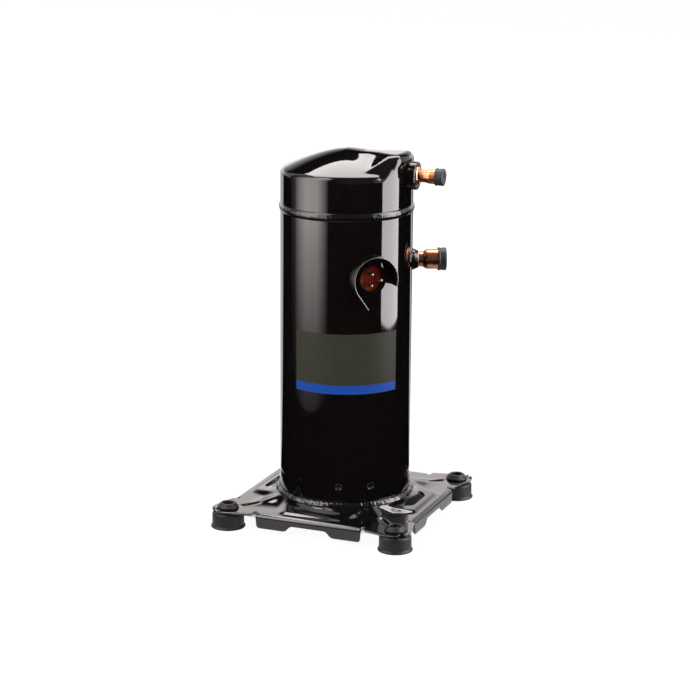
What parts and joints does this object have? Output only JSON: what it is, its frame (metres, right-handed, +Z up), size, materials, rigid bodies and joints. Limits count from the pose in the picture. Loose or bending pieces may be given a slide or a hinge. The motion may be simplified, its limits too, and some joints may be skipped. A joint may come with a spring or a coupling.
{
  "type": "scroll compressor",
  "caption": "Upright hermetic scroll compressor: welded round shell on a square stamped base with rubber feet, copper suction and discharge stubs, fenced terminal, motor and scroll set inside.",
  "frame": {"origin": "on the floor under the shell's axis, at the centre of the square of feet", "axes": "+Z up along the shell; +X towards the discharge stub; the feet stand along X and Y, and the label and terminal face -Y"},
  "size_m": [0.2273, 0.2272, 0.4005],
  "materials": {
    "shell_paint": "gloss black enamel",
    "weld_paint": "gloss black enamel over rough weld beads",
    "base_paint": "gloss black enamel on pressed steel",
    "foot_rubber": "matt black rubber",
    "cap_rubber": "matt dark grey rubber",
    "label_film": "satin printed film, olive grey over a blue band, bare of text",
    "copper": "drawn copper, satin",
    "braze": "braze alloy with flux marks",
    "terminal_steel": "gloss black enamel",
    "terminal_red": "glossy red sealing compound",
    "pin_metal": "nickel plated",
    "block_plastic": "moulded",
    "lead_sleeve": "extruded",
    "iron": "machined grey iron",
    "bearing": "bearing bronze",
    "steel": "ground",
    "lamination": "stacked electrical sheet",
    "end_metal": "die cast",
    "weight_metal": "cast",
    "winding": "varnished wire",
    "seal_iron": "machined",
    "seal_ring": "filled polymer",
    "magnet": "sintered"
  },
  "bodies": {
    "shell": {"shell_tube": "shell_paint", "bracket_plug_welds": "shell_paint", "bottom_cap": "shell_paint", "seam_weld": "weld_paint", "base_weld": "weld_paint", "label": "label_film", "top_cap": "shell_paint", "base_plate": "base_paint", "front_left_foot": "foot_rubber", "front_right_foot": "foot_rubber", "rear_right_foot": "foot_rubber", "rear_left_foot": "foot_rubber", "suction_fitting": "shell_paint", "suction_stub": "copper", "discharge_collar": "shell_paint", "discharge_braze_ring": "braze", "discharge_stub": "copper", "terminal_cup": "terminal_steel", "terminal_insulator": "terminal_red", "terminal_pins": "pin_metal", "terminal_fence": "shell_paint", "lead_block": "block_plastic", "motor_leads": "lead_sleeve", "main_housing": "iron", "main_bearing_bush": "bearing", "guide_sleeves": "steel", "scroll_bolts": "steel", "lower_bearing_bush": "bearing", "thrust_washer": "bearing", "lower_bearing_bracket": "steel", "stator_core": "lamination", "stator_winding": "winding", "motor_protector": "block_plastic", "sump_magnet": "magnet", "partition_plate": "steel", "check_valve_body": "iron", "relief_valve_body": "steel", "relief_spring": "steel"},
    "crank": {"crankshaft": "steel", "drive_bushing": "steel", "rotor_core": "lamination", "rotor_end_rings": "end_metal", "upper_counterweight": "weight_metal", "lower_counterweight": "weight_metal", "oil_pickup": "steel"},
    "orbiter": {"orbiting_scroll": "iron", "hub_bush": "bearing"},
    "oldham": {"oldham_ring": "end_metal"},
    "upper_scroll": {"fixed_scroll": "iron"},
    "seal": {"floating_seal": "seal_iron", "floating_seal_rings": "seal_ring"},
    "check_disc": {"check_valve_disc": "steel"},
    "relief_piece": {"relief_plunger": "steel"},
    "suction_plug": {"suction_cap": "cap_rubber"},
    "discharge_plug": {"discharge_cap": "cap_rubber"}
  },
  "joints": [
    {"name": "crank_spin", "type": "hinge", "parent": "shell", "child": "crank", "pos_m": [0, 0, 0.2], "axis": [0, 0, 1], "continuous": true},
    {"name": "orbit_turn", "type": "hinge", "parent": "crank", "child": "orbiter", "pos_m": [0, 0.004, 0.275], "axis": [0, 0, 1], "continuous": true},
    {"name": "oldham_slide", "type": "slide", "parent": "shell", "child": "oldham", "axis": [1, 0, 0], "range_m": [-0.004, 0.004]},
    {"name": "scroll_lift", "type": "slide", "parent": "shell", "child": "upper_scroll", "axis": [0, 0, 1], "range_m": [0, 0.001]},
    {"name": "seal_lift", "type": "slide", "parent": "upper_scroll", "child": "seal", "axis": [0, 0, 1], "range_m": [0, 0.0012]},
    {"name": "check_valve_lift", "type": "slide", "parent": "shell", "child": "check_disc", "axis": [0, 0, 1], "range_m": [0, 0.006]},
    {"name": "relief_valve_lift", "type": "slide", "parent": "shell", "child": "relief_piece", "axis": [0, 0, 1], "range_m": [0, 0.002], "stiffness_N_per_m": 2000, "springref_m": -0.004, "deforming": ["relief_spring"]},
    {"name": "suction_cap_pull", "type": "slide", "parent": "shell", "child": "suction_plug", "axis": [0.9063, 0.4226, 0], "range_m": [0, 0.05]},
    {"name": "discharge_cap_pull", "type": "slide", "parent": "shell", "child": "discharge_plug", "axis": [0.9976, 0.0698, 0], "range_m": [0, 0.05]}
  ],
  "couplings": [
    {"joint": "orbit_turn", "follows": "crank_spin", "ratio": -1}
  ]
}
